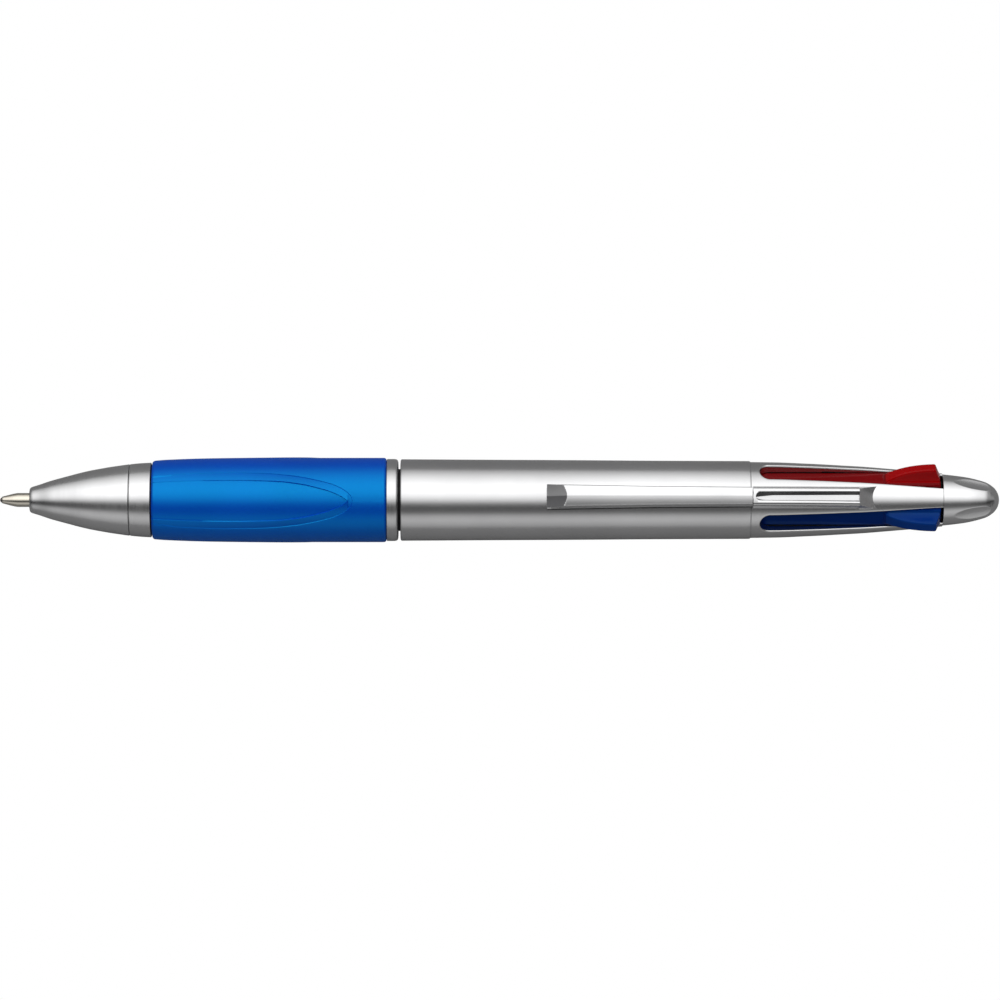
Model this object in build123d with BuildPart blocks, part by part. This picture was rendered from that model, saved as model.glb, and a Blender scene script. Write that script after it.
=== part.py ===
"""Four-colour click pen: a slotted barrel with one sliding thumb piece, refill and spring per colour.

Frame: millimetres, +X runs from the writing point to the end cap, +Z points out through the pocket
clip, and the origin is the front of the writing ball when a colour is out. The black refill is out
at rest; red, blue and green are back in the barrel.
"""

import os
from math import cos, radians, sin

from build123d import *

# Stations along the pen, from the writing point
NOSE_FRONT = 4.4
NOSE_BACK = 19.2
COLLAR_BACK = 22.4
GRIP_FRONT = 22.6
GRIP_BAND_FRONT = 52.5
GRIP_BACK = 57.2
RING_BACK = 58.95
BARREL_FRONT = 59.3
BARREL_BACK = 111.0
HOUSING_BACK = 139.4
PEN_LENGTH = 147.85

# Outside radii
NOSE_TIP_RADIUS = 1.85
NOSE_BACK_RADIUS = 5.3
COLLAR_RADIUS = 5.52
GRIP_RADIUS = 6.25
RING_RADIUS = 6.05
BARREL_FRONT_RADIUS = 6.03
BARREL_BACK_RADIUS = 5.75
HOUSING_FRONT_RADIUS = 5.62
HOUSING_BACK_RADIUS = 3.92

# Where each colour's slider sits around the pen, in degrees from the clip
COLOURS = {"red": 45.0, "blue": -45.0, "green": 135.0, "black": -135.0}
COLOUR_OUT = "black"
TRAVEL = 17.0

# Refill: its centre line is this far from the pen's axis at the slider and at a retracted point
REFILL_OFFSET = 2.95
TIP_OFFSET = 2.5
POINT_LENGTH = 8.0
POINT_CONE = 2.5
SHANK_RADIUS = 1.03
SKIRT_LENGTH = 4.0
SKIRT_RADIUS = 0.77
BALL_RADIUS = 0.4
INK_CHANNEL = 0.3
TUBE_RADIUS = 1.15
TUBE_BORE = 0.8
INK_RADIUS = 0.77
INK_LENGTH = 58.0
STRAIGHT_FROM = 69.0
BEND_POINTS = 6

# Slider, in its rear position
BOSS_FRONT = 101.0
BOSS_LENGTH = 3.0
BOSS_RADIUS = 1.5
STUB_LENGTH = 5.0
STUB_RADIUS = 0.77
STRIP_FLOOR = 2.0
STRIP_TOP = 4.05
STRIP_HALF_WIDTH = 1.4
STRIP_BACK = 138.0
THUMB_FRONT = 130.5
THUMB_CREST = 138.2
THUMB_BACK = 139.0
THUMB_TOP = 6.42
THUMB_TOP_HALF_WIDTH = 0.8
THUMB_CORNER = 0.4
TOOTH_BACK = 127.5
TOOTH_FLOOR = 1.76
TOOTH_HALF_WIDTH = 0.9

# Inside the rear half
SEAT_FRONT = 70.0
SEAT_THICKNESS = 2.2
SEAT_HOLE = 1.3
STEP_RADIUS = 4.35
BORE_RADIUS = 4.65
SOCKET_RADIUS = 4.95
FRONT_SOCKET_BACK = 66.4
REAR_SOCKET_FRONT = 104.4
HOUSING_BORE = 4.38
BORE_TAPER_FRONT = 121.0
HOUSING_WALL = 0.85
SLOT_FRONT = 112.05
SLOT_HALF_WIDTH = 1.52
SLOT_RIM = 0.12
SPRING_RADIUS = 1.42
WIRE_RADIUS = 0.14
SPRING_TURNS = 11
SPRING_END_GAP = 0.05
GUIDE_FRONT = 106.0
GUIDE_RADIUS = 1.7
GUIDE_NECK_RADIUS = 1.4
GUIDE_NECK_FRONT = 108.6
GUIDE_NECK_BACK = 110.9
RIB_FRONT = 112.0
RIB_HALF_THICKNESS = 0.3
RIB_GAP = 0.05
PIN_RADIUS = 1.2
PIN_LENGTH = 4.0

# Inside the front half
NOSE_HOLE = 1.36
NOSE_HOLE_BACK = 5.6
NOSE_FLARE = 1.62
NOSE_SOCKET_FRONT = 16.2
NOSE_SOCKET_RADIUS = 4.32
FRONT_BORE = 3.8
LOWER_BORE = 4.2
SLEEVE_SEAT = 4.98
THREAD_ROOT = 4.58
THREAD_CREST = 4.8
THREAD_PITCH = 1.5
THREAD_LENGTH = 4.5
SPIGOT_LENGTH = 7.0
PLAY = 0.02

# Finger pads in the grip: a shallow shelf with a deeper floor inside it, as station and half-width
PAD_COUNT = 3
PAD_TURN = -6.2
PAD_SHELF_DEPTH = 0.08
PAD_FLOOR_DEPTH = 0.22
PAD_SHELF = ((27.0, 3.94), (34.0, 4.18), (42.8, 3.8), (48.3, 2.79), (51.28, 1.53))
PAD_SHELF_MOUTH = 3.3
PAD_SHELF_TIP = 52.32
PAD_FLOOR = ((28.0, 2.95), (35.5, 3.07), (41.4, 2.9), (46.0, 2.24), (49.4, 1.25))
PAD_FLOOR_MOUTH = 2.6
PAD_FLOOR_TIP = 51.65

# Dimples in the end cap: a shallow round-bottomed hollow along a line of the cap's side view
DIMPLE_FRONT = (140.4, 3.79)
DIMPLE_BACK = (147.2, 2.08)
DIMPLE_RADIUS = 6.0

# Clip
CLIP_FRONT = 80.9
CLIP_BEVEL_BACK = 83.6
CLIP_BACK = 111.06
CLIP_FRONT_HALF_WIDTH = 1.6
CLIP_BACK_HALF_WIDTH = 1.24
CLIP_DRAFT = 0.3
CLIP_TOP_FRONT = 8.0
CLIP_TOP_BACK = 7.65
CLIP_UNDER = 6.55
CLIP_CROWN = 0.22
CLIP_PAD_STATION = 83.6
CLIP_PAD_RADIUS = 0.9
CLIP_FOOT_FRONT = 107.7
CLIP_FOOT_BACK = 110.3
CLIP_FOOT_FLOOR = 5.3
CLIP_FOOT_HALF_WIDTH = 0.85
CLIP_FOOT_PLAY = 0.14
FAIRING_FRONT = 111.2
FAIRING_SLOPE_FRONT = 127.2
FAIRING_BACK = 129.3
FAIRING_TOP_BACK = 6.75
FAIRING_BASE_HALF_WIDTH = 1.62
FAIRING_TOP_HALF_WIDTH = 1.2
RECESS_FLOOR = 6.05
RECESS_HALF_WIDTH = 0.75


def side_plane(angle, shift=0.0):
    """The plane through the pen's axis at this angle from the clip: x along the pen, y outwards."""
    turn = radians(angle)
    return Plane(origin=(-shift, 0, 0), x_dir=(1, 0, 0), z_dir=(0, -cos(turn), sin(turn)))


def cross_plane(station, angle=0.0):
    """A plane across the pen: x around the pen, y outwards at this angle from the clip."""
    turn = radians(angle)
    return Plane(origin=(station, 0, 0), x_dir=(0, cos(turn), -sin(turn)), z_dir=(1, 0, 0))


def tangent_plane(angle, height, shift=0.0):
    """A plane touching a cylinder of this radius: x along the pen, z outwards at this angle."""
    turn = radians(angle)
    out = Vector(0, sin(turn), cos(turn))
    return Plane(origin=out * height - Vector(shift, 0, 0), x_dir=(1, 0, 0), z_dir=out)


def save(piece, name):
    """Names a finished piece and writes it as STEP."""
    piece.part.label = name
    export_step(piece.part, f"parts/{name}.step")


def housing_outline(grow=0.0):
    """Outside curve of the slider housing, front to back, grown outwards by this much."""
    return Spline(
        (BARREL_BACK + PLAY, HOUSING_FRONT_RADIUS + grow),
        (115.5, 5.55 + grow),
        (121.5, 5.28 + grow),
        (127.3, 4.94 + grow),
        (131.7, 4.58 + grow),
        (HOUSING_BACK, HOUSING_BACK_RADIUS + grow),
    )


def build_nose_cone():
    """Tapered front shell with the hole the points come out of."""
    with BuildPart() as nose_cone:
        with BuildSketch(Plane.XY):
            with BuildLine():
                Line((NOSE_FRONT, NOSE_HOLE), (NOSE_FRONT, NOSE_TIP_RADIUS - 0.3))
                lip = TangentArc((NOSE_FRONT, NOSE_TIP_RADIUS - 0.3),
                                 (NOSE_FRONT + 0.45, NOSE_TIP_RADIUS + 0.12), tangent=(0, 1))
                Spline(lip @ 1, (7.4, 2.8), (11.8, 4.0), (NOSE_BACK - 0.1, NOSE_BACK_RADIUS))
                Polyline((NOSE_BACK - 0.1, NOSE_BACK_RADIUS), (NOSE_BACK, NOSE_BACK_RADIUS - 0.1),
                         (NOSE_BACK, NOSE_SOCKET_RADIUS), (NOSE_SOCKET_FRONT, NOSE_SOCKET_RADIUS),
                         (NOSE_SOCKET_FRONT, 3.95))
                Spline((NOSE_SOCKET_FRONT, 3.95), (12.0, 3.2), (8.5, 2.32), (NOSE_HOLE_BACK, NOSE_FLARE))
                Line((NOSE_HOLE_BACK, NOSE_FLARE), (NOSE_FRONT, NOSE_HOLE))
            make_face()
        revolve(axis=Axis.X)
    save(nose_cone, "nose_cone")


def build_lower_barrel():
    """Tube under the grip: collar in front, ring behind, and a threaded spigot for the upper barrel."""
    spigot_back = RING_BACK + SPIGOT_LENGTH
    plug_front = NOSE_SOCKET_FRONT + 0.1
    plug_radius = NOSE_SOCKET_RADIUS - PLAY
    seat_back = GRIP_BACK + 0.05
    with BuildPart() as lower_barrel:
        with BuildSketch(Plane.XY):
            with BuildLine():
                Polyline((plug_front, FRONT_BORE), (plug_front, plug_radius - 0.2),
                         (plug_front + 0.2, plug_radius), (NOSE_BACK + PLAY, plug_radius),
                         (NOSE_BACK + PLAY, NOSE_BACK_RADIUS - 0.1), (NOSE_BACK + 0.1, NOSE_BACK_RADIUS))
                ThreePointArc((NOSE_BACK + 0.1, NOSE_BACK_RADIUS), (20.8, 5.45),
                              (COLLAR_BACK, COLLAR_RADIUS))
                Polyline((COLLAR_BACK, COLLAR_RADIUS), (COLLAR_BACK, SLEEVE_SEAT),
                         (seat_back, SLEEVE_SEAT), (seat_back, RING_RADIUS), (RING_BACK - 0.35, RING_RADIUS))
                RadiusArc((RING_BACK - 0.35, RING_RADIUS), (RING_BACK, RING_RADIUS - 0.35), 0.35)
                Polyline((RING_BACK, RING_RADIUS - 0.35), (RING_BACK, THREAD_ROOT),
                         (spigot_back, THREAD_ROOT), (spigot_back, LOWER_BORE), (26.0, LOWER_BORE),
                         (25.0, FRONT_BORE), (plug_front, FRONT_BORE))
            make_face()
        revolve(axis=Axis.X)
        with BuildLine() as thread_path:
            turns = Helix(THREAD_PITCH, THREAD_LENGTH, THREAD_ROOT,
                          center=(RING_BACK + 1.2, 0, 0), direction=(1, 0, 0))
        with BuildSketch(Plane(origin=turns @ 0, x_dir=(1, 0, 0), z_dir=turns % 0)):
            Polygon((-0.4, -0.05), (0.4, -0.05), (0.1, THREAD_CREST - THREAD_ROOT),
                    (-0.1, THREAD_CREST - THREAD_ROOT), align=None)
        sweep(path=thread_path.line, is_frenet=True)
    save(lower_barrel, "lower_barrel")


def grip_outline(shrink):
    """Closed outline of the grip's wall, with its outside moved in by this much."""
    band = GRIP_RADIUS - shrink
    inside = SLEEVE_SEAT + PLAY
    Line((GRIP_FRONT, inside), (GRIP_FRONT, band - 0.77))
    front = TangentArc((GRIP_FRONT, band - 0.77), (GRIP_FRONT + 0.45, band - 0.4), tangent=(0, 1))
    Spline(front @ 1, (25.0, band - 0.25), (29.6, band - 0.1), (38.0, band - 0.03),
           tangents=[(1, 0.3), (1, 0.002)])
    Polyline((38.0, band - 0.03), (GRIP_BAND_FRONT, band), (GRIP_BACK - 0.35, band))
    RadiusArc((GRIP_BACK - 0.35, band), (GRIP_BACK, band - 0.35), 0.35)
    Polyline((GRIP_BACK, band - 0.35), (GRIP_BACK, inside), (GRIP_FRONT, inside))


def pad_hollows(outline, mouth, tip, depth):
    """Solid to cut from the grip: one hollow of this outline and depth for each finger pad."""
    open_end = GRIP_FRONT - 1
    with BuildPart() as floor:
        with BuildSketch(Plane.XY):
            with BuildLine():
                grip_outline(depth)
            make_face()
        revolve(axis=Axis.X)
    with BuildPart() as hollows:
        for index in range(PAD_COUNT):
            with BuildSketch(tangent_plane(PAD_TURN + index * 360 / PAD_COUNT, SLEEVE_SEAT + PLAY)):
                with BuildLine():
                    Line((open_end, -mouth), (open_end, mouth))
                    upper = Spline((open_end, mouth), *outline, (tip, 0))
                    mirror(upper, about=Plane.XZ)
                make_face()
            extrude(amount=GRIP_RADIUS)
        add(floor.part, mode=Mode.SUBTRACT)
    return hollows.part


def build_grip():
    """Soft sleeve with three finger pads that open towards the front and taper to a tip."""
    shelf = pad_hollows(PAD_SHELF, PAD_SHELF_MOUTH, PAD_SHELF_TIP, PAD_SHELF_DEPTH)
    floor = pad_hollows(PAD_FLOOR, PAD_FLOOR_MOUTH, PAD_FLOOR_TIP, PAD_FLOOR_DEPTH)
    with BuildPart() as grip:
        with BuildSketch(Plane.XY):
            with BuildLine():
                grip_outline(0.0)
            make_face()
        revolve(axis=Axis.X)
        add(shelf, mode=Mode.SUBTRACT)
        add(floor, mode=Mode.SUBTRACT)
    save(grip, "grip")


def build_upper_barrel():
    """Plain tube with a step for the spring plate, a socket at each end and a pocket for the clip."""
    with BuildPart() as upper_barrel:
        with BuildSketch(Plane.XY):
            with BuildLine():
                Polyline((BARREL_FRONT, SOCKET_RADIUS), (BARREL_FRONT, BARREL_FRONT_RADIUS - 0.2),
                         (BARREL_FRONT + 0.2, BARREL_FRONT_RADIUS))
                Spline((BARREL_FRONT + 0.2, BARREL_FRONT_RADIUS), (74.0, 5.945), (96.0, 5.82),
                       (BARREL_BACK - 0.15, BARREL_BACK_RADIUS))
                Polyline((BARREL_BACK - 0.15, BARREL_BACK_RADIUS), (BARREL_BACK, BARREL_BACK_RADIUS - 0.15),
                         (BARREL_BACK, SOCKET_RADIUS), (REAR_SOCKET_FRONT, SOCKET_RADIUS),
                         (REAR_SOCKET_FRONT, BORE_RADIUS), (SEAT_FRONT, BORE_RADIUS),
                         (SEAT_FRONT, STEP_RADIUS), (FRONT_SOCKET_BACK, STEP_RADIUS),
                         (FRONT_SOCKET_BACK, SOCKET_RADIUS), (BARREL_FRONT, SOCKET_RADIUS))
            make_face()
        revolve(axis=Axis.X)
        pocket_floor = CLIP_FOOT_FLOOR - CLIP_FOOT_PLAY / 2
        with BuildSketch(Plane.XY.offset(pocket_floor)):
            with Locations(((CLIP_FOOT_FRONT + CLIP_FOOT_BACK) / 2, 0)):
                Rectangle(CLIP_FOOT_BACK - CLIP_FOOT_FRONT + 2 * CLIP_FOOT_PLAY,
                          2 * (CLIP_FOOT_HALF_WIDTH + CLIP_FOOT_PLAY))
        extrude(amount=2.0, mode=Mode.SUBTRACT)
    save(upper_barrel, "upper_barrel")


def build_slider_housing():
    """Tapering rear tube with four long slots, plugged into the back of the upper barrel."""
    front = BARREL_BACK + PLAY
    spigot_front = REAR_SOCKET_FRONT + 0.1
    spigot_radius = SOCKET_RADIUS - PLAY
    with BuildPart() as slider_housing:
        with BuildSketch(Plane.XY):
            with BuildLine():
                housing_outline()
                Line((HOUSING_BACK, HOUSING_BACK_RADIUS), (HOUSING_BACK, HOUSING_BACK_RADIUS - HOUSING_WALL))
                Spline((HOUSING_BACK, HOUSING_BACK_RADIUS - HOUSING_WALL), (131.7, 4.58 - HOUSING_WALL),
                       (BORE_TAPER_FRONT, HOUSING_BORE))
                Polyline((BORE_TAPER_FRONT, HOUSING_BORE), (spigot_front, HOUSING_BORE),
                         (spigot_front, spigot_radius - 0.2), (spigot_front + 0.2, spigot_radius),
                         (front, spigot_radius), (front, HOUSING_FRONT_RADIUS))
            make_face()
        revolve(axis=Axis.X)
        slot_back = HOUSING_BACK + 1
        for angle in COLOURS.values():
            with BuildSketch(tangent_plane(angle, 2.0)):
                with Locations((SLOT_FRONT + SLOT_HALF_WIDTH, 0)):
                    Circle(SLOT_HALF_WIDTH)
                with Locations(((SLOT_FRONT + SLOT_HALF_WIDTH + slot_back) / 2, 0)):
                    Rectangle(slot_back - SLOT_FRONT - SLOT_HALF_WIDTH, 2 * SLOT_HALF_WIDTH)
            extrude(amount=5.0, mode=Mode.SUBTRACT)
        skin = slider_housing.faces().sort_by(SortBy.AREA)[-1]
        rims = [edge for edge in skin.edges()
                if edge.bounding_box().size.X > SLOT_HALF_WIDTH / 2 and abs(edge.center().Z) > 1]
        chamfer(rims, SLOT_RIM)
    save(slider_housing, "slider_housing")


def build_end_cap():
    """Domed cap with four long dimples in line with the sliders, and a socket for the guide core."""
    front = HOUSING_BACK + PLAY
    along = Vector(*DIMPLE_BACK) - Vector(*DIMPLE_FRONT)
    centre = Vector(*DIMPLE_FRONT) + Vector(-along.Y, along.X).normalized() * DIMPLE_RADIUS
    with BuildPart() as end_cap:
        with BuildSketch(Plane.XY):
            with BuildLine():
                Line((front, PIN_RADIUS + PLAY), (front, 3.8))
                Spline((front, 3.8), (141.5, 3.57), (143.5, 3.26), (145.5, 2.74), (146.8, 2.04), (147.5, 1.2),
                       (PEN_LENGTH, 0), tangents=[(1, -0.08), (0, -1)])
                Polyline((PEN_LENGTH, 0), (front + PIN_LENGTH + 0.2, 0),
                         (front + PIN_LENGTH + 0.2, PIN_RADIUS + PLAY), (front, PIN_RADIUS + PLAY))
            make_face()
        revolve(axis=Axis.X)
        for angle in COLOURS.values():
            plane = side_plane(angle)
            start = plane.from_local_coords(centre)
            direction = plane.from_local_coords(centre + along) - start
            with BuildSketch(Plane(origin=start, z_dir=direction)):
                Circle(DIMPLE_RADIUS)
            extrude(amount=along.length, mode=Mode.SUBTRACT)
    save(end_cap, "end_cap")


def build_guide_core():
    """Post between the sliders, with four ribs out to the housing and a groove the teeth drop into."""
    reach = HOUSING_BORE - RIB_GAP
    back_reach = HOUSING_BACK_RADIUS - HOUSING_WALL - RIB_GAP
    with BuildPart() as guide_core:
        with BuildSketch(Plane.XY):
            with BuildLine():
                Polyline((HOUSING_BACK, back_reach), (HOUSING_BACK, 0), (RIB_FRONT, 0), (RIB_FRONT, reach),
                         (BORE_TAPER_FRONT, reach))
                Spline((BORE_TAPER_FRONT, reach), (131.7, 4.58 - HOUSING_WALL - RIB_GAP),
                       (HOUSING_BACK, back_reach))
            make_face()
        revolve(axis=Axis.X)
        with BuildSketch(cross_plane(RIB_FRONT)):
            Rectangle(2 * reach, 2 * RIB_HALF_THICKNESS)
            Rectangle(2 * RIB_HALF_THICKNESS, 2 * reach)
        extrude(amount=HOUSING_BACK - RIB_FRONT, mode=Mode.INTERSECT)
        with BuildSketch(Plane.XY):
            with BuildLine():
                Polyline((GUIDE_FRONT, 0), (GUIDE_FRONT, GUIDE_RADIUS - 0.4),
                         (GUIDE_FRONT + 0.4, GUIDE_RADIUS), (GUIDE_NECK_FRONT, GUIDE_RADIUS),
                         (GUIDE_NECK_FRONT + 0.5, GUIDE_NECK_RADIUS), (GUIDE_NECK_BACK, GUIDE_NECK_RADIUS),
                         (GUIDE_NECK_BACK, GUIDE_RADIUS), (HOUSING_BACK, GUIDE_RADIUS),
                         (HOUSING_BACK, PIN_RADIUS), (HOUSING_BACK + PIN_LENGTH, PIN_RADIUS),
                         (HOUSING_BACK + PIN_LENGTH, 0), (GUIDE_FRONT, 0))
            make_face()
        revolve(axis=Axis.X)
    save(guide_core, "guide_core")


def build_spring_plate():
    """Disc the springs push against, with one hole per refill."""
    with BuildPart() as spring_plate:
        with BuildSketch(cross_plane(SEAT_FRONT + PLAY)):
            Circle(BORE_RADIUS - PLAY)
            for angle in COLOURS.values():
                turn = radians(angle)
                with Locations((REFILL_OFFSET * sin(turn), REFILL_OFFSET * cos(turn))):
                    Circle(SEAT_HOLE, mode=Mode.SUBTRACT)
        extrude(amount=SEAT_THICKNESS)
    save(spring_plate, "spring_plate")


def build_clip_arm():
    """Springy arm: a roof-topped bar with a bevelled front, a round pad under it and a foot at the back."""
    with BuildPart() as clip_arm:
        for station, half_width, top in (
            (CLIP_FRONT, CLIP_FRONT_HALF_WIDTH, CLIP_TOP_FRONT),
            (CLIP_BACK, CLIP_BACK_HALF_WIDTH, CLIP_TOP_BACK),
        ):
            base = half_width + CLIP_DRAFT
            with BuildSketch(cross_plane(station)):
                Polygon((-base, CLIP_UNDER), (base, CLIP_UNDER), (half_width, top - CLIP_CROWN),
                        (0, top), (-half_width, top - CLIP_CROWN), align=None)
        loft(ruled=True)
        with BuildSketch(side_plane(0)):
            Polygon((CLIP_FRONT - 1, CLIP_UNDER), (CLIP_FRONT, CLIP_UNDER + 0.5),
                    (CLIP_BEVEL_BACK, CLIP_TOP_FRONT), (CLIP_BEVEL_BACK, CLIP_TOP_FRONT + 1),
                    (CLIP_FRONT - 1, CLIP_TOP_FRONT + 1), align=None)
        extrude(amount=3.0, both=True, mode=Mode.SUBTRACT)
        with BuildSketch(side_plane(0)):
            with Locations((CLIP_PAD_STATION, CLIP_UNDER + 0.3)):
                Circle(CLIP_PAD_RADIUS)
        extrude(amount=CLIP_FRONT_HALF_WIDTH - 0.3, both=True)
        with BuildSketch(Plane.XY.offset(CLIP_FOOT_FLOOR)):
            with Locations(((CLIP_FOOT_FRONT + CLIP_FOOT_BACK) / 2, 0)):
                Rectangle(CLIP_FOOT_BACK - CLIP_FOOT_FRONT, 2 * CLIP_FOOT_HALF_WIDTH)
        extrude(amount=CLIP_UNDER - CLIP_FOOT_FLOOR + 0.5)
    save(clip_arm, "clip_arm")


def build_clip_mount():
    """Fixed block behind the arm: it carries the clip's line down to the housing, with a long recess."""
    with BuildPart() as clip_mount:
        with BuildSketch(side_plane(0)):
            with BuildLine():
                Line((FAIRING_FRONT, 4.0), (FAIRING_FRONT, CLIP_TOP_BACK))
                Spline((FAIRING_FRONT, CLIP_TOP_BACK), (119.5, 7.35), (FAIRING_SLOPE_FRONT, FAIRING_TOP_BACK))
                Polyline((FAIRING_SLOPE_FRONT, FAIRING_TOP_BACK), (FAIRING_BACK, 4.7), (FAIRING_BACK, 4.0),
                         (FAIRING_FRONT, 4.0))
            make_face()
        extrude(amount=FAIRING_BASE_HALF_WIDTH + 1, both=True)
        with BuildSketch(cross_plane(FAIRING_FRONT)):
            Polygon((-FAIRING_BASE_HALF_WIDTH, 4.0), (FAIRING_BASE_HALF_WIDTH, 4.0),
                    (FAIRING_BASE_HALF_WIDTH, 5.2), (FAIRING_TOP_HALF_WIDTH, 7.6),
                    (FAIRING_TOP_HALF_WIDTH, 8.0), (-FAIRING_TOP_HALF_WIDTH, 8.0),
                    (-FAIRING_TOP_HALF_WIDTH, 7.6), (-FAIRING_BASE_HALF_WIDTH, 5.2), align=None)
        extrude(amount=FAIRING_BACK - FAIRING_FRONT, mode=Mode.INTERSECT)
        with BuildSketch(Plane.XY):
            with BuildLine():
                skin = housing_outline(PLAY)
                Polyline(skin @ 1, (HOUSING_BACK, 0), (BARREL_BACK + PLAY, 0), skin @ 0)
            make_face()
        revolve(axis=Axis.X, mode=Mode.SUBTRACT)
        with BuildSketch(Plane.XY.offset(RECESS_FLOOR)):
            with Locations((FAIRING_FRONT + 0.9 + RECESS_HALF_WIDTH, 0)):
                Circle(RECESS_HALF_WIDTH)
            with Locations(((FAIRING_FRONT + 0.9 + RECESS_HALF_WIDTH + FAIRING_SLOPE_FRONT + 0.2) / 2, 0)):
                Rectangle(FAIRING_SLOPE_FRONT - FAIRING_FRONT - 0.7 - RECESS_HALF_WIDTH,
                          2 * RECESS_HALF_WIDTH)
        extrude(amount=3.0, mode=Mode.SUBTRACT)
    save(clip_mount, "clip_mount")


def build_slider(colour, angle, shift):
    """Slider of one colour: thumb piece, flat strip, boss the spring pushes on, and stub in the refill."""
    with BuildPart() as slider:
        with BuildSketch(tangent_plane(angle, STRIP_FLOOR, shift)) as thumb_plan:
            with Locations(((THUMB_FRONT + THUMB_BACK) / 2, 0)):
                Rectangle(THUMB_BACK - THUMB_FRONT, 2 * STRIP_HALF_WIDTH)
            fillet(thumb_plan.vertices().group_by(Axis.X)[0], radius=THUMB_CORNER)
        extrude(amount=THUMB_TOP)
        with BuildSketch(side_plane(angle, shift)):
            with BuildLine():
                Polyline((THUMB_CREST, THUMB_TOP), (THUMB_BACK, STRIP_TOP), (THUMB_BACK, STRIP_FLOOR),
                         (THUMB_FRONT, STRIP_FLOOR), (THUMB_FRONT, STRIP_TOP))
                Spline((THUMB_FRONT, STRIP_TOP), (132.7, 5.4), (134.9, 6.05), (THUMB_CREST, THUMB_TOP),
                       tangents=[(1, 0.8), (1, 0)])
            make_face()
        extrude(amount=STRIP_HALF_WIDTH, both=True, mode=Mode.INTERSECT)
        with BuildSketch(cross_plane(THUMB_FRONT - shift, angle)):
            with BuildLine():
                Polyline((0, STRIP_FLOOR), (STRIP_HALF_WIDTH, STRIP_FLOOR), (STRIP_HALF_WIDTH, 3.95))
                Spline((STRIP_HALF_WIDTH, 3.95), (0.93, 4.6), (THUMB_TOP_HALF_WIDTH, THUMB_TOP),
                       tangents=[(-1, 0.3), (0, 1)])
                Line((THUMB_TOP_HALF_WIDTH, THUMB_TOP), (0, THUMB_TOP))
                mirror(about=Plane.YZ)
            make_face()
        extrude(amount=THUMB_BACK - THUMB_FRONT, mode=Mode.INTERSECT)
        strip_front = BOSS_FRONT + BOSS_LENGTH / 2
        with BuildSketch(cross_plane(strip_front - shift, angle)):
            with Locations((0, (STRIP_FLOOR + STRIP_TOP) / 2)):
                Rectangle(2 * STRIP_HALF_WIDTH, STRIP_TOP - STRIP_FLOOR)
        extrude(amount=STRIP_BACK - strip_front)
        with BuildSketch(cross_plane(BOSS_FRONT - shift, angle)):
            with Locations((0, REFILL_OFFSET)):
                Circle(BOSS_RADIUS)
        extrude(amount=BOSS_LENGTH)
        with BuildSketch(cross_plane(BOSS_FRONT - shift, angle)):
            with Locations((0, REFILL_OFFSET)):
                Circle(STUB_RADIUS)
        extrude(amount=-STUB_LENGTH)
        with BuildSketch(side_plane(angle, shift)):
            Polygon((TOOTH_BACK, STRIP_FLOOR + 0.1), (TOOTH_BACK, TOOTH_FLOOR),
                    (TOOTH_BACK - 1.2, TOOTH_FLOOR), (TOOTH_BACK - 1.5, STRIP_FLOOR + 0.1), align=None)
        extrude(amount=TOOTH_HALF_WIDTH, both=True)
    save(slider, f"slider_{colour}")


def build_spring(colour, angle, shift):
    """Return spring of one colour, between the plate and the slider's boss."""
    turn = radians(angle)
    front = SEAT_FRONT + PLAY + SEAT_THICKNESS + WIRE_RADIUS + SPRING_END_GAP
    length = BOSS_FRONT - shift - WIRE_RADIUS - SPRING_END_GAP - front
    with BuildPart() as spring:
        with BuildLine() as spring_path:
            coil = Helix(length / SPRING_TURNS, length, SPRING_RADIUS,
                         center=(front, REFILL_OFFSET * sin(turn), REFILL_OFFSET * cos(turn)),
                         direction=(1, 0, 0))
        with BuildSketch(Plane(origin=coil @ 0, z_dir=coil % 0)):
            Circle(WIRE_RADIUS)
        sweep(path=spring_path.line, is_frenet=True)
    save(spring, f"spring_{colour}")


def refill_bend(angle, front, offset):
    """Curved middle stretch of a refill whose point sits at this station and distance from the axis."""
    start = front + POINT_LENGTH + SKIRT_LENGTH
    stations = []
    for index in range(BEND_POINTS + 1):
        share = index / BEND_POINTS
        rise = (REFILL_OFFSET - offset) * share**2 * (3 - 2 * share)
        stations.append((start + (STRAIGHT_FROM - start) * share, offset + rise))
    return Spline(stations, tangents=[(1, 0), (1, 0)])


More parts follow.
